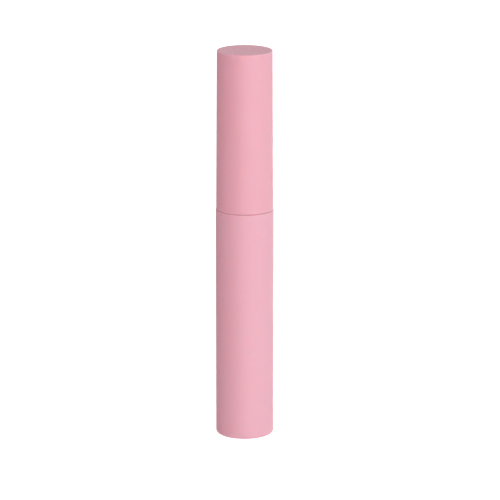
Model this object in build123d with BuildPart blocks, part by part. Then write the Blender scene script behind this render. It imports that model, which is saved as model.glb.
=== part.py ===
from build123d import *
import math
import os

# A screw-top mascara tube, standing upright and closed.
# Units are millimetres, +Z is up, and the origin is the middle of the base.
# Every piece is round about the Z axis, apart from its threads and ribs.

# ---- Driving dimensions of the closed tube ----
TUBE_LENGTH = 105.0
BODY_RADIUS = 7.75
BODY_LENGTH = 62.0
SEAM_GAP = 0.07  # open joint between the body's rim and the cap's rim
CAP_RIM_RADIUS = 7.64
CAP_TOP_RADIUS = 7.4  # the cap tapers a little towards its closed end
SHELL_WALL = 1.0
CAP_RIM_Z = BODY_LENGTH + SEAM_GAP

# ---- Body shell ----
BODY_FLOOR = 1.2
BODY_BASE_FILLET = 1.0
RIM_FILLET = 0.12
BASE_RECESS_RADIUS = 5.6
BASE_RECESS_DEPTH = 0.3
GATE_RADIUS = 0.7  # moulding gate's stub in the middle of the recess
GATE_HEIGHT = 0.15
REBATE_RADIUS = 7.15  # seat for the vial's flange
REBATE_DEPTH = 1.2
BODY_BORE_RADIUS = BODY_RADIUS - SHELL_WALL

# ---- Vial ----
FLANGE_RADIUS = REBATE_RADIUS - 0.05
VIAL_FLOOR_Z = BODY_FLOOR + 0.2
VIAL_RADIUS = 6.3
VIAL_WALL = 0.9
VIAL_FLOOR = 1.0
VIAL_BASE_FILLET = 1.2
LOCATING_BAND_RADIUS = BODY_BORE_RADIUS - 0.05
LOCATING_BAND_HEIGHT = 3.5
NECK_RADIUS = 4.8
NECK_BORE_RADIUS = 3.9
NECK_TOP_Z = 75.0
NECK_COLLAR_RADIUS = 5.45
NECK_COLLAR_HEIGHT = 1.0
VIAL_BORE_RADIUS = VIAL_RADIUS - VIAL_WALL

# ---- Screw thread between the neck and the inner cap ----
THREAD_PITCH = 3.0
THREAD_DEPTH = 0.7
THREAD_BASE_WIDTH = 1.7
THREAD_CREST_WIDTH = 1.0
THREAD_ROOT_OVERLAP = 0.1  # how far a ridge is sunk into the wall that carries it
NECK_THREAD_Z = 65.2
NECK_THREAD_TURNS = 1.75
CAP_THREAD_LEAD = 0.3  # turns by which the cap's ridge starts after the neck's
CAP_THREAD_TURNS = NECK_THREAD_TURNS - CAP_THREAD_LEAD
CAP_THREAD_Z = NECK_THREAD_Z + THREAD_PITCH * (CAP_THREAD_LEAD - 0.5)

# ---- Wiper ----
WIPER_FLANGE_RADIUS = 4.7
WIPER_FLANGE_HEIGHT = 0.8
WIPER_PLUG_RADIUS = NECK_BORE_RADIUS - 0.03
WIPER_ENTRY_RADIUS = 3.1
WIPER_WALL = 0.6
WIPER_LIP_Z = 66.4
WIPER_LIP_HEIGHT = 0.5
LIP_CLEARANCE = 0.05
SNAP_Z = 71.1  # middle of the snap bead and its groove
SNAP_HEIGHT = 1.0
SNAP_DEPTH = 0.2
SNAP_CLEARANCE = 0.05

# ---- Seal ring ----
SEAL_RADIUS = 5.2
SEAL_THICKNESS = 1.0
SEAL_Z = NECK_TOP_Z + WIPER_FLANGE_HEIGHT

# ---- Inner cap ----
INNER_CAP_RADIUS = 6.45
INNER_CAP_SKIRT_Z = 62.9
INNER_CAP_BORE_RADIUS = NECK_RADIUS + THREAD_DEPTH + 0.15
INNER_CAP_SEAL_BORE_RADIUS = SEAL_RADIUS + 0.1
INNER_CAP_SEAL_BORE_Z = 73.5
INNER_CAP_CEILING_Z = SEAL_Z + SEAL_THICKNESS
INNER_CAP_TOP_Z = INNER_CAP_CEILING_Z + 1.6
BOSS_RADIUS = 3.3
BOSS_TOP_Z = 86.0
SPLINE_COUNT = 24
SPLINE_WIDTH = 0.5
SPLINE_Z = (64.5, 77.6)
GUSSET_COUNT = 4
GUSSET_THICKNESS = 0.8
GUSSET_REACH = 5.0
GUSSET_HEIGHT = 4.6

# ---- Cap shell ----
CAP_LOWER_BORE_RADIUS = 6.6
CAP_UPPER_BORE_RADIUS = 6.45
CAP_BORE_STEP_Z = 79.0
CAP_ROOF = 1.2
CAP_TOP_FILLET = 0.15
CAP_RIM_CHAMFER = 0.3
CAP_RIB_COUNT = 4
CAP_RIB_THICKNESS = 0.8
CAP_RIB_INNER_RADIUS = 5.2
PRESS = 0.02  # radial interference of every press fit

# ---- Wand: rod, wire and bristles ----
ROD_RADIUS = 2.0
ROD_TOP_Z = 85.0
ROD_END_Z = 37.0
ROD_END_RADIUS = 1.4
ROD_TAPER = 4.0
ROD_END_FILLET = 0.25
WIRE_RADIUS = 0.55
WIRE_TIP_Z = 7.0
WIRE_SOCKET_DEPTH = 8.0
BARB_COUNT = 3
BARB_PITCH = 1.8
BARB_DEPTH = 0.12
BRISTLE_Z = (8.2, 34.6)
BRISTLE_ROWS = 25
BRISTLE_ROW_THICKNESS = 0.36
BRISTLE_CORE_RADIUS = 0.85
BRISTLE_TIP_RADIUS = 2.0
BRISTLE_MAX_RADIUS = 3.4
BRISTLE_END_RADIUS = 2.9
BRISTLE_MAX_PLACE = 0.62  # where the brush is thickest, along its length from the tip

Z_AXIS_PLANE = Plane.XZ  # sketch x is the radius and sketch y is the height


def revolve_outline(points):
    """Turn a closed outline of (radius, height) points about Z into the part being built."""
    with BuildSketch(Z_AXIS_PLANE) as outline:
        with BuildLine():
            Polyline(*points, close=True)
        make_face()
    revolve(outline.sketch, axis=Axis.Z)


def edges_at(part, radius, height):
    """The circular edges of a part at one radius and one height."""
    return [
        edge
        for edge in part.edges().filter_by(GeomType.CIRCLE)
        if abs(edge.radius - radius) < 1e-4 and abs(edge.arc_center.Z - height) < 1e-4
    ]


def sweep_thread(wall_radius, crest_radius, start_z, turns):
    """Sweep one right-hand trapezoidal ridge, standing out of a wall, into the part being built."""
    inward = math.copysign(1, crest_radius - wall_radius)
    root = wall_radius - inward * THREAD_ROOT_OVERLAP
    with BuildLine() as path:
        Helix(THREAD_PITCH, turns * THREAD_PITCH, wall_radius, center=(0, 0, start_z))
    start = Plane(origin=path.line @ 0, x_dir=(1, 0, 0), z_dir=path.line % 0)
    with BuildSketch(start) as ridge:
        with BuildLine():
            Polyline(
                (root - wall_radius, -THREAD_BASE_WIDTH / 2),
                (0, -THREAD_BASE_WIDTH / 2),
                (crest_radius - wall_radius, -THREAD_CREST_WIDTH / 2),
                (crest_radius - wall_radius, THREAD_CREST_WIDTH / 2),
                (0, THREAD_BASE_WIDTH / 2),
                (root - wall_radius, THREAD_BASE_WIDTH / 2),
                close=True,
            )
        make_face()
    sweep(ridge.sketch, path=path.line, is_frenet=True)


# ---- Body shell: a closed-end tube with a seat for the vial's flange ----
with BuildPart() as body_shell:
    rebate_z = BODY_LENGTH - REBATE_DEPTH
    revolve_outline(
        [
            (0, 0),
            (BODY_RADIUS, 0),
            (BODY_RADIUS, BODY_LENGTH),
            (REBATE_RADIUS, BODY_LENGTH),
            (REBATE_RADIUS, rebate_z),
            (BODY_BORE_RADIUS, rebate_z),
            (BODY_BORE_RADIUS, BODY_FLOOR),
            (0, BODY_FLOOR),
        ]
    )
    fillet(edges_at(body_shell.part, BODY_RADIUS, 0), BODY_BASE_FILLET)
    fillet(edges_at(body_shell.part, BODY_RADIUS, BODY_LENGTH), RIM_FILLET)
    with BuildSketch(Plane.XY):
        Circle(BASE_RECESS_RADIUS)
    extrude(amount=BASE_RECESS_DEPTH, mode=Mode.SUBTRACT)
    with BuildSketch(Plane.XY.offset(BASE_RECESS_DEPTH - GATE_HEIGHT)):
        Circle(GATE_RADIUS)
    extrude(amount=GATE_HEIGHT)

# ---- Neck thread: its two ends run out flat, tangent to the neck ----
with BuildPart() as neck_thread:
    sweep_thread(NECK_RADIUS, NECK_RADIUS + THREAD_DEPTH, NECK_THREAD_Z, NECK_THREAD_TURNS)
    for turn in (0, NECK_THREAD_TURNS):
        end = Location((0, 0, NECK_THREAD_Z + turn * THREAD_PITCH), (0, 0, 360 * turn))
        with Locations(end * Location((NECK_RADIUS + THREAD_DEPTH, 0, 0))):
            Box(2 * THREAD_DEPTH, NECK_RADIUS * 1.6, THREAD_BASE_WIDTH * 1.4, mode=Mode.SUBTRACT)

# ---- Vial: the inner bottle with its flange, shoulder and threaded neck ----
with BuildPart() as vial:
    flange_z = BODY_LENGTH - REBATE_DEPTH
    shoulder_z = flange_z - (VIAL_BORE_RADIUS - NECK_BORE_RADIUS)
    groove_low = SNAP_Z - SNAP_HEIGHT / 2
    groove_high = SNAP_Z + SNAP_HEIGHT / 2
    revolve_outline(
        [
            (0, VIAL_FLOOR_Z),
            (VIAL_RADIUS, VIAL_FLOOR_Z),
            (VIAL_RADIUS, flange_z - LOCATING_BAND_HEIGHT - 0.5),
            (LOCATING_BAND_RADIUS, flange_z - LOCATING_BAND_HEIGHT),
            (LOCATING_BAND_RADIUS, flange_z),
            (FLANGE_RADIUS, flange_z),
            (FLANGE_RADIUS, BODY_LENGTH),
            (NECK_COLLAR_RADIUS, BODY_LENGTH),
            (NECK_COLLAR_RADIUS, BODY_LENGTH + NECK_COLLAR_HEIGHT),
            (NECK_RADIUS, BODY_LENGTH + NECK_COLLAR_HEIGHT),
            (NECK_RADIUS, NECK_TOP_Z),
            (NECK_BORE_RADIUS, NECK_TOP_Z),
            (NECK_BORE_RADIUS, groove_high),
            (NECK_BORE_RADIUS + SNAP_DEPTH, groove_high - SNAP_DEPTH),
            (NECK_BORE_RADIUS + SNAP_DEPTH, groove_low + SNAP_DEPTH),
            (NECK_BORE_RADIUS, groove_low),
            (NECK_BORE_RADIUS, flange_z),
            (VIAL_BORE_RADIUS, shoulder_z),
            (VIAL_BORE_RADIUS, VIAL_FLOOR_Z + VIAL_FLOOR),
            (0, VIAL_FLOOR_Z + VIAL_FLOOR),
        ]
    )
    fillet(edges_at(vial.part, VIAL_RADIUS, VIAL_FLOOR_Z), VIAL_BASE_FILLET)
    fillet(edges_at(vial.part, VIAL_BORE_RADIUS, VIAL_FLOOR_Z + VIAL_FLOOR), VIAL_BASE_FILLET)
    fillet(edges_at(vial.part, NECK_COLLAR_RADIUS, BODY_LENGTH + NECK_COLLAR_HEIGHT), RIM_FILLET)
    fillet(edges_at(vial.part, NECK_RADIUS, NECK_TOP_Z), RIM_FILLET)
    add(neck_thread.part)

# ---- Wiper: a soft funnel whose lip fits the rod ----
with BuildPart() as wiper:
    lip_radius = ROD_RADIUS + LIP_CLEARANCE
    lip_top_z = WIPER_LIP_Z + WIPER_LIP_HEIGHT
    taper_z = WIPER_LIP_Z + 2.4
    bead_radius = NECK_BORE_RADIUS + SNAP_DEPTH - SNAP_CLEARANCE
    bead_half = SNAP_HEIGHT / 2 - SNAP_CLEARANCE
    bead_flat_half = bead_half - SNAP_DEPTH
    revolve_outline(
        [
            (WIPER_ENTRY_RADIUS + 0.4, SEAL_Z),
            (WIPER_FLANGE_RADIUS, SEAL_Z),
            (WIPER_FLANGE_RADIUS, NECK_TOP_Z),
            (WIPER_PLUG_RADIUS, NECK_TOP_Z),
            (WIPER_PLUG_RADIUS, SNAP_Z + bead_half),
            (bead_radius, SNAP_Z + bead_flat_half),
            (bead_radius, SNAP_Z - bead_flat_half),
            (WIPER_PLUG_RADIUS, SNAP_Z - bead_half),
            (WIPER_PLUG_RADIUS, taper_z),
            (lip_radius + WIPER_WALL, WIPER_LIP_Z),
            (lip_radius, WIPER_LIP_Z),
            (lip_radius, lip_top_z),
            (WIPER_PLUG_RADIUS - 1.2 * WIPER_WALL, taper_z + 1.2),
            (WIPER_ENTRY_RADIUS, SEAL_Z - 0.4),
        ]
    )

# ---- Seal ring ----
with BuildPart() as seal_ring:
    with BuildSketch(Plane.XY.offset(SEAL_Z)):
        Circle(SEAL_RADIUS)
        Circle(ROD_RADIUS + LIP_CLEARANCE, mode=Mode.SUBTRACT)
    extrude(amount=SEAL_THICKNESS)
    chamfer(edges_at(seal_ring.part, SEAL_RADIUS, SEAL_Z + SEAL_THICKNESS), 0.15)

# ---- Inner cap's thread: its two ends fade into the bore ----
with BuildPart() as cap_thread:
    cap_thread_crest = INNER_CAP_BORE_RADIUS - THREAD_DEPTH
    runout_radius = 3.0
    sweep_thread(INNER_CAP_BORE_RADIUS, cap_thread_crest, CAP_THREAD_Z, CAP_THREAD_TURNS)
    for turn in (0, CAP_THREAD_TURNS):
        end = Location((0, 0, CAP_THREAD_Z + turn * THREAD_PITCH), (0, 0, 360 * turn))
        with Locations(end * Location((INNER_CAP_BORE_RADIUS - runout_radius, 0, 0))):
            Cylinder(runout_radius, THREAD_BASE_WIDTH * 1.4, mode=Mode.SUBTRACT)

# ---- Inner cap: threaded insert with splines outside and a boss for the rod ----
with BuildPart() as inner_cap:
    revolve_outline(
        [
            (INNER_CAP_BORE_RADIUS, INNER_CAP_SKIRT_Z),
            (INNER_CAP_RADIUS, INNER_CAP_SKIRT_Z),
            (INNER_CAP_RADIUS, INNER_CAP_TOP_Z),
            (BOSS_RADIUS, INNER_CAP_TOP_Z),
            (BOSS_RADIUS, BOSS_TOP_Z),
            (0, BOSS_TOP_Z),
            (0, ROD_TOP_Z),
            (ROD_RADIUS, ROD_TOP_Z),
            (ROD_RADIUS, INNER_CAP_CEILING_Z),
            (INNER_CAP_SEAL_BORE_RADIUS, INNER_CAP_CEILING_Z),
            (INNER_CAP_SEAL_BORE_RADIUS, INNER_CAP_SEAL_BORE_Z),
            (INNER_CAP_BORE_RADIUS, INNER_CAP_SEAL_BORE_Z - 0.35),
        ]
    )
    fillet(edges_at(inner_cap.part, BOSS_RADIUS, BOSS_TOP_Z), 0.5)
    with BuildSketch(Plane.XY.offset(SPLINE_Z[0])):
        spline_depth = CAP_LOWER_BORE_RADIUS + PRESS - INNER_CAP_RADIUS
        spline_middle = INNER_CAP_RADIUS + spline_depth / 2 - 0.1
        with PolarLocations(spline_middle, SPLINE_COUNT):
            Rectangle(spline_depth + 0.2, SPLINE_WIDTH)
    extrude(amount=SPLINE_Z[1] - SPLINE_Z[0])
    for gusset in range(GUSSET_COUNT):
        turned = Plane.XZ.rotated((0, 0, 45 + gusset * 360 / GUSSET_COUNT))
        with BuildSketch(turned):
            with BuildLine():
                Polyline(
                    (BOSS_RADIUS - 0.2, INNER_CAP_TOP_Z - 0.1),
                    (GUSSET_REACH, INNER_CAP_TOP_Z - 0.1),
                    (GUSSET_REACH, INNER_CAP_TOP_Z + 0.8),
                    (BOSS_RADIUS - 0.2, INNER_CAP_TOP_Z + GUSSET_HEIGHT),
                    close=True,
                )
            make_face()
        extrude(amount=GUSSET_THICKNESS / 2, both=True)
    add(cap_thread.part, rotation=(0, 0, 360 * CAP_THREAD_LEAD))

# ---- Cap shell: a slightly tapered closed-end tube with ribs that stop the inner cap ----
with BuildPart() as cap_shell:
    revolve_outline(
        [
            (CAP_LOWER_BORE_RADIUS, CAP_RIM_Z),
            (CAP_RIM_RADIUS, CAP_RIM_Z),
            (CAP_TOP_RADIUS, TUBE_LENGTH),
            (0, TUBE_LENGTH),
            (0, TUBE_LENGTH - CAP_ROOF),
            (CAP_UPPER_BORE_RADIUS, TUBE_LENGTH - CAP_ROOF),
            (CAP_UPPER_BORE_RADIUS, CAP_BORE_STEP_Z),
            (CAP_LOWER_BORE_RADIUS, CAP_BORE_STEP_Z),
        ]
    )
    fillet(edges_at(cap_shell.part, CAP_RIM_RADIUS, CAP_RIM_Z), RIM_FILLET)
    fillet(edges_at(cap_shell.part, CAP_TOP_RADIUS, TUBE_LENGTH), CAP_TOP_FILLET)
    chamfer(edges_at(cap_shell.part, CAP_LOWER_BORE_RADIUS, CAP_RIM_Z), CAP_RIM_CHAMFER)
    with BuildSketch(Plane.XY.offset(INNER_CAP_TOP_Z)):
        rib_width = CAP_LOWER_BORE_RADIUS + 0.3 - CAP_RIB_INNER_RADIUS
        with PolarLocations(CAP_RIB_INNER_RADIUS + rib_width / 2, CAP_RIB_COUNT):
            Rectangle(rib_width, CAP_RIB_THICKNESS)
    extrude(amount=TUBE_LENGTH - CAP_ROOF / 2 - INNER_CAP_TOP_Z)

# ---- Wand rod: tapered at its lower end, barbed where the boss grips it ----
with BuildPart() as wand_rod:
    barbs = []
    for index in range(BARB_COUNT):
        barb_z = ROD_TOP_Z - 1.2 - index * BARB_PITCH
        barbs += [
            (ROD_RADIUS, barb_z),
            (ROD_RADIUS + BARB_DEPTH, barb_z - 0.8),
            (ROD_RADIUS, barb_z - 0.85),
        ]
    revolve_outline(
        [
            (0, ROD_TOP_Z),
            (ROD_RADIUS - 0.3, ROD_TOP_Z),
            (ROD_RADIUS, ROD_TOP_Z - 0.3),
            *barbs,
            (ROD_RADIUS, ROD_END_Z + ROD_TAPER),
            (ROD_END_RADIUS, ROD_END_Z),
            (WIRE_RADIUS - PRESS, ROD_END_Z),
            (WIRE_RADIUS - PRESS, ROD_END_Z + WIRE_SOCKET_DEPTH),
            (0, ROD_END_Z + WIRE_SOCKET_DEPTH),
        ]
    )
    fillet(edges_at(wand_rod.part, ROD_END_RADIUS, ROD_END_Z), ROD_END_FILLET)

# ---- Brush wire ----
with BuildPart() as brush_wire:
    with BuildSketch(Plane.XY.offset(WIRE_TIP_Z)):
        Circle(WIRE_RADIUS)
    extrude(amount=ROD_END_Z + WIRE_SOCKET_DEPTH - WIRE_TIP_Z)
    fillet(edges_at(brush_wire.part, WIRE_RADIUS, WIRE_TIP_Z), WIRE_RADIUS / 2)


def bristle_radius(place):
    """Radius of the brush at a place from 0 at its tip to 1 at the rod."""
    if place < BRISTLE_MAX_PLACE:
        swell = math.sin(math.pi / 2 * place / BRISTLE_MAX_PLACE)
        return BRISTLE_TIP_RADIUS + (BRISTLE_MAX_RADIUS - BRISTLE_TIP_RADIUS) * swell
    fall = (place - BRISTLE_MAX_PLACE) / (1 - BRISTLE_MAX_PLACE)
    return BRISTLE_MAX_RADIUS + (BRISTLE_END_RADIUS - BRISTLE_MAX_RADIUS) * fall**2


# ---- Bristles: rows of fibres about a core clamped by the wire ----
with BuildPart() as bristles:
    row_pitch = (BRISTLE_Z[1] - BRISTLE_Z[0] - BRISTLE_ROW_THICKNESS) / (BRISTLE_ROWS - 1)
    comb = [(WIRE_RADIUS - PRESS, BRISTLE_Z[0])]
    for row in range(BRISTLE_ROWS):
        row_z = BRISTLE_Z[0] + row * row_pitch
        reach = bristle_radius(row / (BRISTLE_ROWS - 1))
        comb += [
            (BRISTLE_CORE_RADIUS, row_z),
            (reach, row_z),
            (reach, row_z + BRISTLE_ROW_THICKNESS),
            (BRISTLE_CORE_RADIUS, row_z + BRISTLE_ROW_THICKNESS),
        ]
    comb.append((WIRE_RADIUS - PRESS, BRISTLE_Z[1]))
    revolve_outline(comb)

pieces = {
    "body_shell": body_shell.part,
    "vial": vial.part,
    "wiper": wiper.part,
    "seal_ring": seal_ring.part,
    "inner_cap": inner_cap.part,
    "cap_shell": cap_shell.part,
    "wand_rod": wand_rod.part,
    "brush_wire": brush_wire.part,
    "bristles": bristles.part,
}

os.makedirs("parts", exist_ok=True)
for name, part in pieces.items():
    part.label = name
    export_step(part, f"parts/{name}.step")
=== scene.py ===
import math
import random

import bmesh
import bpy
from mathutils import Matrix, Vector


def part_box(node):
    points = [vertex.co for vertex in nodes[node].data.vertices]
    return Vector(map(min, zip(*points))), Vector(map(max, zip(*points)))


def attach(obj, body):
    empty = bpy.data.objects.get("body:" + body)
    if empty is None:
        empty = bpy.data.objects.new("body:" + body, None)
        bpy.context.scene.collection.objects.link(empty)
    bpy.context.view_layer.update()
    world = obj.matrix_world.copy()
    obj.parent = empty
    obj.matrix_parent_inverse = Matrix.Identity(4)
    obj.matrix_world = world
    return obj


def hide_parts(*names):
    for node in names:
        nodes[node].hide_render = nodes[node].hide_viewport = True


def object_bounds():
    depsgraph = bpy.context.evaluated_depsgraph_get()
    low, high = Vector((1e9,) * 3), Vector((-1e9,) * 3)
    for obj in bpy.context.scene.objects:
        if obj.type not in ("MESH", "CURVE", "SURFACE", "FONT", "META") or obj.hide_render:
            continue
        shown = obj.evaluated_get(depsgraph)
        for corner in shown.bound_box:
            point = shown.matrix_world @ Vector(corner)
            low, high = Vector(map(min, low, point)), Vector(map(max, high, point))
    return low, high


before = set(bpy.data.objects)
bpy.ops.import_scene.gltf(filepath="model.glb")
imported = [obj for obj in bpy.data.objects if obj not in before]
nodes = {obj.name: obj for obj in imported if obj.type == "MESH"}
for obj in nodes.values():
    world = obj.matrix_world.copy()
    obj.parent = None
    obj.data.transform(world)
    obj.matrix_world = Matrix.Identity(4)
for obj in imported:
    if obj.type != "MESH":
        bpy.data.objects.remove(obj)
cad_low, cad_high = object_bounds()

# Everything is in metres. MM turns the millimetre sizes below into metres.
MM = 0.001

# ---------------------------------------------------------------- places read from the CAD model
BASE_Z = cad_low.z
TOP_Z = cad_high.z
BODY_LOW, BODY_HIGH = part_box("body_shell")
CAP_LOW, CAP_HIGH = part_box("cap_shell")
WIRE_LOW, WIRE_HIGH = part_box("brush_wire")
BRISTLE_LOW, BRISTLE_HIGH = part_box("bristles")

# ---------------------------------------------------------------- places typed to match the CAD model
SEAM_Z = 62.0 * MM  # where the cap meets the body
SHELL_INSIDE = 7.3 * MM  # nearer the axis than this, a shell shows its bare resin, whose colour also paints light into the seam gap

# ---------------------------------------------------------------- camera
CAMERA_DISTANCE = 1.02
CAMERA_ELEVATION = math.radians(14.1)
CAMERA_LENS = 275.0
SENSOR_WIDTH = 36.0
AIM_RIGHT = 1.4 * MM  # the tube stands a little left of the picture's middle
AIM_DOWN = 1.8 * MM  # and a little above it

# ---------------------------------------------------------------- brush
STRAND_RADIUS = 0.272 * MM
STRAND_OFFSET = 0.274 * MM
TWIST_PITCH = 2.1 * MM
STRAND_SIDES = 10
STRAND_INSET = STRAND_RADIUS * 0.2  # how far a strand's ends stop short of the CAD wire's
STRAND_ENDS = (0.62, 0.9, 1.0)  # radius of a strand's last rings, as shares of its full radius
RINGS_PER_TURN = 20
FIBRE_COUNT = 4800
FIBRE_RADIUS = 0.045 * MM
FIBRE_SIDES = 3
FIBRE_MARGIN = 0.35 * MM  # bare wire left at each end of the brush
FIBRE_ROOT = STRAND_RADIUS * 0.4  # where a fibre starts, from the wire's axis
FIBRE_PLACES = (0, 0.35, 0.7, 1)  # points along a fibre, as shares of its length
FIBRE_TAPER = (1, 1, 0.85, 0.4)  # its radius at those points, as shares of FIBRE_RADIUS
FIBRE_SHORTER = 0.08  # the most that a fibre falls short, as a share of its length
FIBRE_FAN = 0.24  # radians, spread of the fibres about the gap between the strands
FIBRE_LEAN = 0.07  # radians, spread of the fibres up and down the wire
FIBRE_LEAN_LIMIT = 0.12  # radians
FIBRE_CURL = 0.05  # sideways bend of a fibre's tip, as a share of its length
BRUSH_TIP_RADIUS = 2.0 * MM
BRUSH_MAX_RADIUS = 3.4 * MM
BRUSH_END_RADIUS = 2.9 * MM
BRUSH_MAX_PLACE = 0.62  # where the brush is widest, from 0 at its tip to 1 at the rod
SEED = 7


# ================================================================ node helpers
class Shader:
    """A material's node tree with short calls for adding and joining nodes."""

    def __init__(self, name):
        self.material = bpy.data.materials.new(name)
        self.material.use_nodes = True
        self.tree = self.material.node_tree
        self.surface = self.tree.nodes["Principled BSDF"]
        self.place = self.add("ShaderNodeTexCoord").outputs["Object"]

    def add(self, kind, settings=None, **sockets):
        """A new node; settings are its properties and sockets its inputs, by name."""
        node = self.tree.nodes.new(kind)
        for key, value in (settings or {}).items():
            setattr(node, key, value)
        for key, value in sockets.items():
            self.put(node, key.replace("_", " "), value)
        return node

    def put(self, node, key, value):
        """Gives an input a value, or joins it to another node's output."""
        socket = node.inputs[key]
        if isinstance(value, bpy.types.NodeSocket):
            self.tree.links.new(value, socket)
        else:
            socket.default_value = value

    def constants(self, **sockets):
        """Sets values on the surface shader's own sockets."""
        for key, value in sockets.items():
            self.surface.inputs[key.replace("_", " ")].default_value = value

    def noise(self, size, detail=2.0, roughness=0.5, stretch=(1, 1, 1)):
        """Noise from 0 to 1 whose lumps are about size metres across."""
        place = self.place
        if stretch != (1, 1, 1):
            place = self.add("ShaderNodeMapping", Vector=place, Scale=stretch).outputs[0]
        return self.add(
            "ShaderNodeTexNoise", Vector=place, Scale=1 / size, Detail=detail, Roughness=roughness
        ).outputs[0]

    def ramp(self, value, low, high, to_low=0.0, to_high=1.0):
        """Maps a value smoothly from one range to another, clamped at both ends."""
        node = self.add("ShaderNodeMapRange", {"interpolation_type": "SMOOTHSTEP"}, Value=value)
        for key, limit in zip(("From Min", "From Max", "To Min", "To Max"), (low, high, to_low, to_high)):
            node.inputs[key].default_value = limit
        return node.outputs[0]

    def math(self, operation, a, b=0.0):
        """One sum on two values; an operation on one value ignores b."""
        node = self.add("ShaderNodeMath", {"operation": operation})
        self.put(node, 0, a)
        self.put(node, 1, b)
        return node.outputs[0]

    def height(self):
        """The height of a surface point, in metres."""
        return self.add("ShaderNodeSeparateXYZ", Vector=self.place).outputs["Z"]

    def mix(self, factor, a, b):
        """Mixes two colours."""
        node = self.add("ShaderNodeMix", {"data_type": "RGBA"})
        self.put(node, 0, factor)
        self.put(node, 6, a)
        self.put(node, 7, b)
        return node.outputs[2]

    def bump(self, *layers, rounding=0.04 * MM):
        """Joins bump layers, each (height from 0 to 1, relief in metres), over slightly rounded edges."""
        normal = self.add("ShaderNodeBevel", {"samples": 4}, Radius=rounding).outputs[0]
        for height, relief in layers:
            node = self.add("ShaderNodeBump", Height=height, Distance=relief, Strength=1.0, Normal=normal)
            normal = node.outputs[0]
        self.put(self.surface, "Normal", normal)

    def colour(self, value):
        """Joins the surface's colour."""
        self.put(self.surface, "Base Color", value)

    def roughness(self, value):
        """Joins the surface's roughness."""
        self.put(self.surface, "Roughness", value)


def rgb(red, green, blue):
    """An opaque colour, in linear light."""
    return (red, green, blue, 1.0)


# ================================================================ materials
# Lighter pink for the shells' rims: partly rubbed wear, partly a painted highlight on the edges.
RUBBED_PINK_HIGHLIGHT = rgb(0.86, 0.50, 0.57)
DUST = rgb(0.36, 0.16, 0.20)
# Bare resin inside the shells, lighter and redder than the coat: partly the resin's own colour, partly
# painted light in the seam gap.
BARE_RESIN_SEAM_LIGHT = rgb(0.84, 0.42, 0.50)
MASK_SOFTNESS = 0.02 * MM
RUB_HIGHLIGHT_WIDTH = 0.45 * MM
DUST_SPACING = 2.6 * MM


def edge_mask(shader, edges, width):
    """1 on each edge's height and 0 beyond width from it."""
    height = shader.height()
    mask = None
    for edge in edges:
        away = shader.math("ABSOLUTE", shader.math("SUBTRACT", height, edge))
        near = shader.ramp(away, 0.0, width, 1.0, 0.0)
        mask = near if mask is None else shader.math("MAXIMUM", mask, near)
    return mask


def inner_mask(shader, radius):
    """1 nearer the tube's axis than radius and 0 farther out."""
    flat = shader.add("ShaderNodeVectorMath", {"operation": "MULTIPLY"})
    shader.put(flat, 0, shader.place)
    shader.put(flat, 1, (1, 1, 0))
    away = shader.add("ShaderNodeVectorMath", {"operation": "LENGTH"})
    shader.put(away, 0, flat.outputs[0])
    return shader.ramp(
        away.outputs["Value"], radius - MASK_SOFTNESS, radius + MASK_SOFTNESS, 1.0, 0.0
    )


def height_mask(shader, low, high):
    """1 between two heights and 0 outside them."""
    height = shader.height()
    above = shader.math("GREATER_THAN", height, low)
    return shader.math("MULTIPLY", above, shader.math("LESS_THAN", height, high))


def soft_touch_pink(name, tones, edges, bare_lit_from, bare_lit_to):
    """Pink soft-touch coat with fine grain. Its rims are lighter, partly from rubbed wear and partly as a
    painted highlight. The bare resin shows inside the shell, and its colour also paints light into the seam
    gap.
    """
    s = Shader(name)
    mottle = s.noise(7 * MM, detail=4, roughness=0.55)
    body = s.mix(mottle, *tones)
    # Rims lightened: partly rubbed wear, partly a painted highlight.
    rub_and_highlight = s.math("MULTIPLY", edge_mask(s, edges, RUB_HIGHLIGHT_WIDTH), s.ramp(s.noise(0.8 * MM, 3), 0.3, 0.7))
    rubbed_and_highlit = s.mix(s.math("MULTIPLY", rub_and_highlight, 0.45), body, RUBBED_PINK_HIGHLIGHT)
    speck = s.add(
        "ShaderNodeTexVoronoi", {"feature": "F1"}, Vector=s.place, Scale=1 / DUST_SPACING, Randomness=1.0
    )
    dot = s.ramp(speck.outputs["Distance"], 0.035, 0.06, 1.0, 0.0)
    rare = s.ramp(speck.outputs["Color"], 0.80, 0.82)
    dust = s.math("MULTIPLY", s.math("MULTIPLY", dot, rare), 0.25)
    coated = s.mix(dust, rubbed_and_highlit, DUST)
    # Inside the shells: bare resin, whose colour also paints light into the seam gap.
    bare_and_seam_light = s.math("MULTIPLY", inner_mask(s, SHELL_INSIDE), height_mask(s, bare_lit_from, bare_lit_to))
    s.colour(s.mix(bare_and_seam_light, coated, BARE_RESIN_SEAM_LIGHT))
    handled = s.ramp(s.noise(11 * MM, 3), 0.35, 0.7, 0.47, 0.53)
    grainy = s.math("ADD", handled, s.math("MULTIPLY", s.noise(0.3 * MM, 2), 0.05))
    s.roughness(s.math("SUBTRACT", grainy, s.math("MULTIPLY", s.math("MAXIMUM", rub_and_highlight, bare_and_seam_light), 0.12)))
    s.bump((s.noise(0.11 * MM, 2), 0.002 * MM), (s.noise(0.9 * MM, 2), 0.0012 * MM))
    s.constants(IOR=1.5, Sheen_Weight=0.12, Sheen_Roughness=0.45, Sheen_Tint=rgb(1.0, 0.86, 0.9))
    s.constants(Subsurface_Weight=0.45, Subsurface_Radius=(1.0, 0.35, 0.25), Subsurface_Scale=0.4 * MM)
    return s.material


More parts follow.
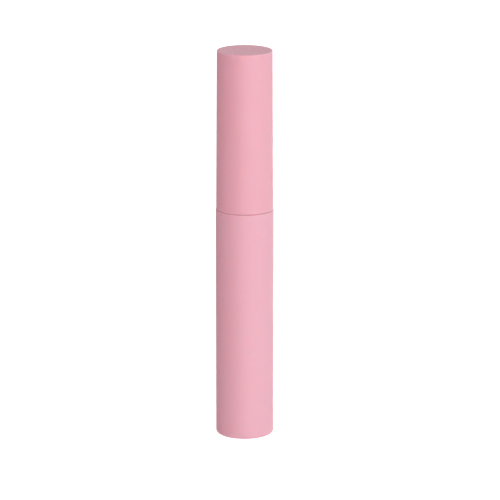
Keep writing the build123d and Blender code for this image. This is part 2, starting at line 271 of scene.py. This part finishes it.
def moulded_plastic(name, low, high, roughness, glow, streak=(1, 1, 1)):
    """Plain moulded plastic: cloudy colour, faint flow marks and a fine grain."""
    s = Shader(name)
    cloud = s.noise(4 * MM, detail=4, stretch=streak)
    s.colour(s.mix(cloud, low, high))
    s.roughness(s.ramp(s.noise(1.5 * MM, 3, stretch=streak), 0.3, 0.7, roughness - 0.04, roughness + 0.05))
    flow = s.noise(2 * MM, 2, stretch=streak)
    s.bump((s.noise(0.25 * MM, 2), 0.001 * MM), (flow, 0.0025 * MM), rounding=0.09 * MM)
    s.constants(
        IOR=1.49,
        Subsurface_Weight=glow,
        Subsurface_Radius=(1.0, 0.95, 0.85),
        Subsurface_Scale=0.9 * MM,
    )
    return s.material


def foam(name):
    """Closed-cell foam: small round pores, their pits painted darker as shade, over a soft matt skin."""
    s = Shader(name)
    pores = s.add("ShaderNodeTexVoronoi", Vector=s.place, Scale=1 / (0.22 * MM)).outputs["Distance"]
    pit_depth_and_shade = s.ramp(pores, 0.1, 0.55)
    # Pits painted darker: painted shade inside the pores.
    s.colour(s.mix(pit_depth_and_shade, rgb(0.55, 0.55, 0.53), rgb(0.84, 0.84, 0.81)))
    s.roughness(s.ramp(pores, 0.0, 0.6, 0.95, 0.8))
    s.bump((pit_depth_and_shade, 0.03 * MM))
    return s.material


def drawn_steel(name):
    """Bright drawn wire with fine die lines along it."""
    s = Shader(name)
    lines = s.noise(0.05 * MM, detail=3, stretch=(1, 1, 0.06))
    s.colour(s.mix(lines, rgb(0.46, 0.46, 0.47), rgb(0.66, 0.66, 0.67)))
    s.roughness(s.ramp(lines, 0.3, 0.7, 0.22, 0.38))
    s.bump((lines, 0.003 * MM))
    s.constants(Metallic=1.0)
    return s.material


def nylon(name):
    """Black nylon fibre, a little browner and rougher where it varies."""
    s = Shader(name)
    s.colour(s.mix(s.noise(0.6 * MM, 2), rgb(0.010, 0.010, 0.011), rgb(0.030, 0.027, 0.026)))
    s.roughness(s.ramp(s.noise(0.3 * MM, 2), 0.3, 0.7, 0.34, 0.5))
    s.bump((s.noise(0.05 * MM, 2), 0.002 * MM))
    return s.material


MATERIALS = {
    "body_shell": soft_touch_pink(
        "pink_body",
        (rgb(0.732, 0.380, 0.456), rgb(0.758, 0.400, 0.476)),
        (BODY_LOW.z, SEAM_Z),
        BODY_LOW.z + 0.6 * MM,
        BODY_HIGH.z + 1 * MM,
    ),
    "cap_shell": soft_touch_pink(
        "pink_cap",
        (rgb(0.738, 0.368, 0.440), rgb(0.764, 0.386, 0.458)),
        (CAP_LOW.z, CAP_HIGH.z),
        CAP_LOW.z - 1 * MM,
        CAP_HIGH.z - 0.5 * MM,
    ),
    "vial": moulded_plastic("natural_pp", rgb(0.59, 0.60, 0.60), rgb(0.63, 0.64, 0.635), 0.22, 0.6),
    "inner_cap": moulded_plastic("white_pp", rgb(0.67, 0.67, 0.66), rgb(0.71, 0.71, 0.70), 0.30, 0.35),
    "wiper": moulded_plastic("soft_ldpe", rgb(0.61, 0.61, 0.58), rgb(0.66, 0.66, 0.63), 0.38, 0.6),
    "seal_ring": foam("white_foam"),
    "wand_rod": moulded_plastic(
        "black_rod", rgb(0.011, 0.011, 0.012), rgb(0.019, 0.018, 0.019), 0.2, 0.0, streak=(1, 1, 0.15)
    ),
}


def dress(obj, material):
    """Puts one material in every slot of an object."""
    obj.data.materials.clear()
    obj.data.materials.append(material)


for node_name, material in MATERIALS.items():
    dress(nodes[node_name], material)


# ================================================================ brush
def add_tube(mesh, centres, radii, sides):
    """Adds a closed tube through the centres to a bmesh, with one radius for each centre."""
    rings = []
    side = None
    for index, centre in enumerate(centres):
        before = centres[max(index - 1, 0)]
        after = centres[min(index + 1, len(centres) - 1)]
        along = (after - before).normalized()
        if side is None:
            side = along.orthogonal().normalized()
        side = (side - along * side.dot(along)).normalized()
        other = along.cross(side)
        ring = []
        for step in range(sides):
            turn = math.tau * step / sides
            offset = side * math.cos(turn) + other * math.sin(turn)
            ring.append(mesh.verts.new(centre + offset * radii[index]))
        rings.append(ring)
    for low, high in zip(rings, rings[1:]):
        for step in range(sides):
            after = (step + 1) % sides
            mesh.faces.new((low[step], low[after], high[after], high[step]))
    mesh.faces.new(list(reversed(rings[0])))
    mesh.faces.new(rings[-1])


def finish_piece(name, mesh, material):
    """Turns a bmesh into a smooth-shaded object with one material."""
    data = bpy.data.meshes.new(name)
    mesh.to_mesh(data)
    mesh.free()
    for face in data.polygons:
        face.use_smooth = True
    obj = bpy.data.objects.new(name, data)
    bpy.context.scene.collection.objects.link(obj)
    dress(obj, material)
    return obj


def twist_at(z):
    """Angle of the first strand about the wire's axis at a height."""
    return math.tau * (z - WIRE_LOW.z) / TWIST_PITCH


def make_wire():
    """Two strands of wire twisted about each other, with rounded cut ends."""
    mesh = bmesh.new()
    low = WIRE_LOW.z + STRAND_INSET
    high = WIRE_HIGH.z - STRAND_INSET
    count = int((high - low) / TWIST_PITCH * RINGS_PER_TURN)
    for strand in range(2):
        centres, radii = [], []
        for index in range(count + 1):
            z = low + (high - low) * index / count
            angle = twist_at(z) + math.pi * strand
            across = Vector((math.cos(angle), math.sin(angle), 0)) * STRAND_OFFSET
            centres.append(across + Vector((0, 0, z)))
            from_end = min(index, count - index)
            radii.append(STRAND_RADIUS * STRAND_ENDS[min(from_end, 2)])
        add_tube(mesh, centres, radii, STRAND_SIDES)
    return finish_piece("wire_strands", mesh, drawn_steel("drawn_steel"))


def brush_radius(place):
    """The brush's radius at a place from 0 at its tip to 1 at the rod."""
    if place < BRUSH_MAX_PLACE:
        swell = math.sin(math.pi / 2 * place / BRUSH_MAX_PLACE)
        return BRUSH_TIP_RADIUS + (BRUSH_MAX_RADIUS - BRUSH_TIP_RADIUS) * swell
    fall = (place - BRUSH_MAX_PLACE) / (1 - BRUSH_MAX_PLACE)
    return BRUSH_MAX_RADIUS + (BRUSH_END_RADIUS - BRUSH_MAX_RADIUS) * fall**2


def make_fibres():
    """Nylon fibres that leave the gap between the strands on both sides, row after row."""
    rng = random.Random(SEED)
    mesh = bmesh.new()
    span = BRISTLE_HIGH.z - BRISTLE_LOW.z
    radii = [FIBRE_RADIUS * share for share in FIBRE_TAPER]
    for _ in range(FIBRE_COUNT):
        place = rng.random()
        z = BRISTLE_LOW.z + FIBRE_MARGIN + (span - 2 * FIBRE_MARGIN) * place
        angle = twist_at(z) + math.pi / 2 + math.pi * rng.randrange(2) + rng.gauss(0, FIBRE_FAN)
        lean = max(-FIBRE_LEAN_LIMIT, min(FIBRE_LEAN_LIMIT, rng.gauss(0, FIBRE_LEAN)))
        out = Vector((math.cos(angle) * math.cos(lean), math.sin(angle) * math.cos(lean), math.sin(lean)))
        across = Vector((-math.sin(angle), math.cos(angle), 0))
        length = brush_radius(place) * (1 - FIBRE_SHORTER * rng.random() ** 2)
        curl = rng.gauss(0, FIBRE_CURL) * length
        centres = []
        for share in FIBRE_PLACES:
            reach = FIBRE_ROOT + share * (length - FIBRE_ROOT)
            centres.append(Vector((0, 0, z)) + out * reach + across * curl * share**2)
        add_tube(mesh, centres, radii, FIBRE_SIDES)
    return finish_piece("brush_fibres", mesh, nylon("black_nylon"))


wire_strands = make_wire()
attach(wire_strands, "cap")
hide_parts("brush_wire")

brush_fibres = make_fibres()
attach(brush_fibres, "cap")
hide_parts("bristles")


# ================================================================ stage
STAGE_RADIUS = 3.0
STAGE_CORNER = 0.8
STAGE_WALL = 2.5
STAGE_GLOW = 0.88
STAGE_SEGMENTS = 96
STAGE_FLOOR_RINGS = (0.3, 1.2)
STAGE_CORNER_STEPS = 12
# Grey of the world at places from 0, straight below, through 0.5, level, to 1, straight above.
WORLD_STOPS = ((0.12, 0.9), (0.24, 0.33), (0.52, 0.33), (0.72, 0.34), (0.78, 0.74))
SOFTBOX_DISTANCE = 0.9
SOFTBOX_HEIGHT = 0.8
SOFTBOX_WIDTH = 0.35
KEY_POWER = 2.33
BACK_POWER = 2.4
WHITE = (1.0, 1.0, 1.0)
# The pink of the last one was fitted to the photo's shadow side; no pink thing shows there.
# Each row: name, azimuth and elevation in degrees, power in watts, tint.
SOFTBOXES = (
    ("key_0", 0, 6, KEY_POWER, WHITE),
    ("key_30", 30, 6, KEY_POWER, WHITE),
    ("key_60", 60, 6, KEY_POWER, WHITE),
    ("side", 120, 6, 1.0, WHITE),
    ("back_-178", -178, -32, BACK_POWER, WHITE),
    ("back_160", 160, -32, BACK_POWER, WHITE),
    ("bounce", -60, 6, 1.0, (1.0, 0.3, 0.4)),
)


def make_stage():
    """A round pale sweep: a flat floor that curves up into a wall."""
    profile = [(radius, 0.0) for radius in (*STAGE_FLOOR_RINGS, STAGE_RADIUS - STAGE_CORNER)]
    for step in range(1, STAGE_CORNER_STEPS + 1):
        turn = math.pi / 2 * step / STAGE_CORNER_STEPS
        across = STAGE_RADIUS - STAGE_CORNER + STAGE_CORNER * math.sin(turn)
        profile.append((across, STAGE_CORNER * (1 - math.cos(turn))))
    profile.append((STAGE_RADIUS, STAGE_WALL))
    mesh = bmesh.new()
    middle = mesh.verts.new((0, 0, BASE_Z))
    rings = []
    for radius, height in profile:
        ring = []
        for step in range(STAGE_SEGMENTS):
            turn = math.tau * step / STAGE_SEGMENTS
            ring.append(mesh.verts.new((radius * math.cos(turn), radius * math.sin(turn), BASE_Z + height)))
        rings.append(ring)
    for step in range(STAGE_SEGMENTS):
        after = (step + 1) % STAGE_SEGMENTS
        mesh.faces.new((middle, rings[0][step], rings[0][after]))
        for low, high in zip(rings, rings[1:]):
            mesh.faces.new((low[step], high[step], high[after], low[after]))
    s = Shader("pale_stage")
    s.colour(s.mix(s.noise(60 * MM, 3), rgb(0.80, 0.80, 0.80), rgb(0.82, 0.82, 0.82)))
    s.constants(Roughness=0.9, Specular_IOR_Level=0.1)
    s.constants(Emission_Color=rgb(1, 1, 1), Emission_Strength=STAGE_GLOW)
    obj = finish_piece("stage", mesh, s.material)
    obj.visible_diffuse = False
    obj.visible_glossy = False
    obj.visible_shadow = False


def make_world():
    """Soft surrounding light, brighter straight above and straight below than near the horizon."""
    world = bpy.data.worlds.new("soft_room")
    world.use_nodes = True
    tree = world.node_tree
    place = tree.nodes.new("ShaderNodeTexCoord")
    split = tree.nodes.new("ShaderNodeSeparateXYZ")
    ramp = tree.nodes.new("ShaderNodeValToRGB")
    shift = tree.nodes.new("ShaderNodeMapRange")
    shift.inputs["From Min"].default_value = -1.0
    tree.links.new(place.outputs["Generated"], split.inputs[0])
    tree.links.new(split.outputs["Z"], shift.inputs["Value"])
    tree.links.new(shift.outputs[0], ramp.inputs[0])
    while len(ramp.color_ramp.elements) < len(WORLD_STOPS):
        ramp.color_ramp.elements.new(0.5)
    for element, (at, grey) in zip(ramp.color_ramp.elements, WORLD_STOPS):
        element.position = at
        element.color = rgb(grey, grey, grey)
    background = tree.nodes["Background"]
    tree.links.new(ramp.outputs[0], background.inputs[0])
    bpy.context.scene.world = world


def add_softbox(name, azimuth, elevation, power, tint):
    """An area light aimed at the tube; azimuth 0 is on the camera's side and 90 on its right."""
    light = bpy.data.lights.new(name, "AREA")
    light.shape = "RECTANGLE"
    light.size, light.size_y = SOFTBOX_WIDTH, SOFTBOX_HEIGHT
    light.energy = power
    light.color = tint
    obj = bpy.data.objects.new(name, light)
    a, e = math.radians(azimuth), math.radians(elevation)
    back = Vector((math.sin(a) * math.cos(e), -math.cos(a) * math.cos(e), math.sin(e)))
    obj.location = Vector((0, 0, (BASE_Z + TOP_Z) / 2)) + back * SOFTBOX_DISTANCE
    obj.rotation_mode = "QUATERNION"
    obj.rotation_quaternion = back.to_track_quat("Z", "Y")
    obj.visible_camera = False
    bpy.context.scene.collection.objects.link(obj)


def add_camera():
    """The camera on the tube's front, looking a little down on it."""
    data = bpy.data.cameras.new("camera")
    data.lens = CAMERA_LENS
    data.sensor_width = SENSOR_WIDTH
    data.clip_start, data.clip_end = 0.05, 20.0
    data.dof.use_dof = False
    camera = bpy.data.objects.new("camera", data)
    middle = (cad_low + cad_high) / 2
    back = Vector((0, -math.cos(CAMERA_ELEVATION), math.sin(CAMERA_ELEVATION)))
    right = Vector((1, 0, 0))
    up = back.cross(right)
    aim = middle + right * AIM_RIGHT - up * AIM_DOWN
    camera.location = aim + back * CAMERA_DISTANCE
    camera.rotation_mode = "QUATERNION"
    camera.rotation_quaternion = back.to_track_quat("Z", "Y")
    bpy.context.scene.collection.objects.link(camera)
    bpy.context.scene.camera = camera


make_stage()
make_world()
for softbox in SOFTBOXES:
    add_softbox(*softbox)
add_camera()
bpy.context.scene.view_settings.view_transform = "Standard"
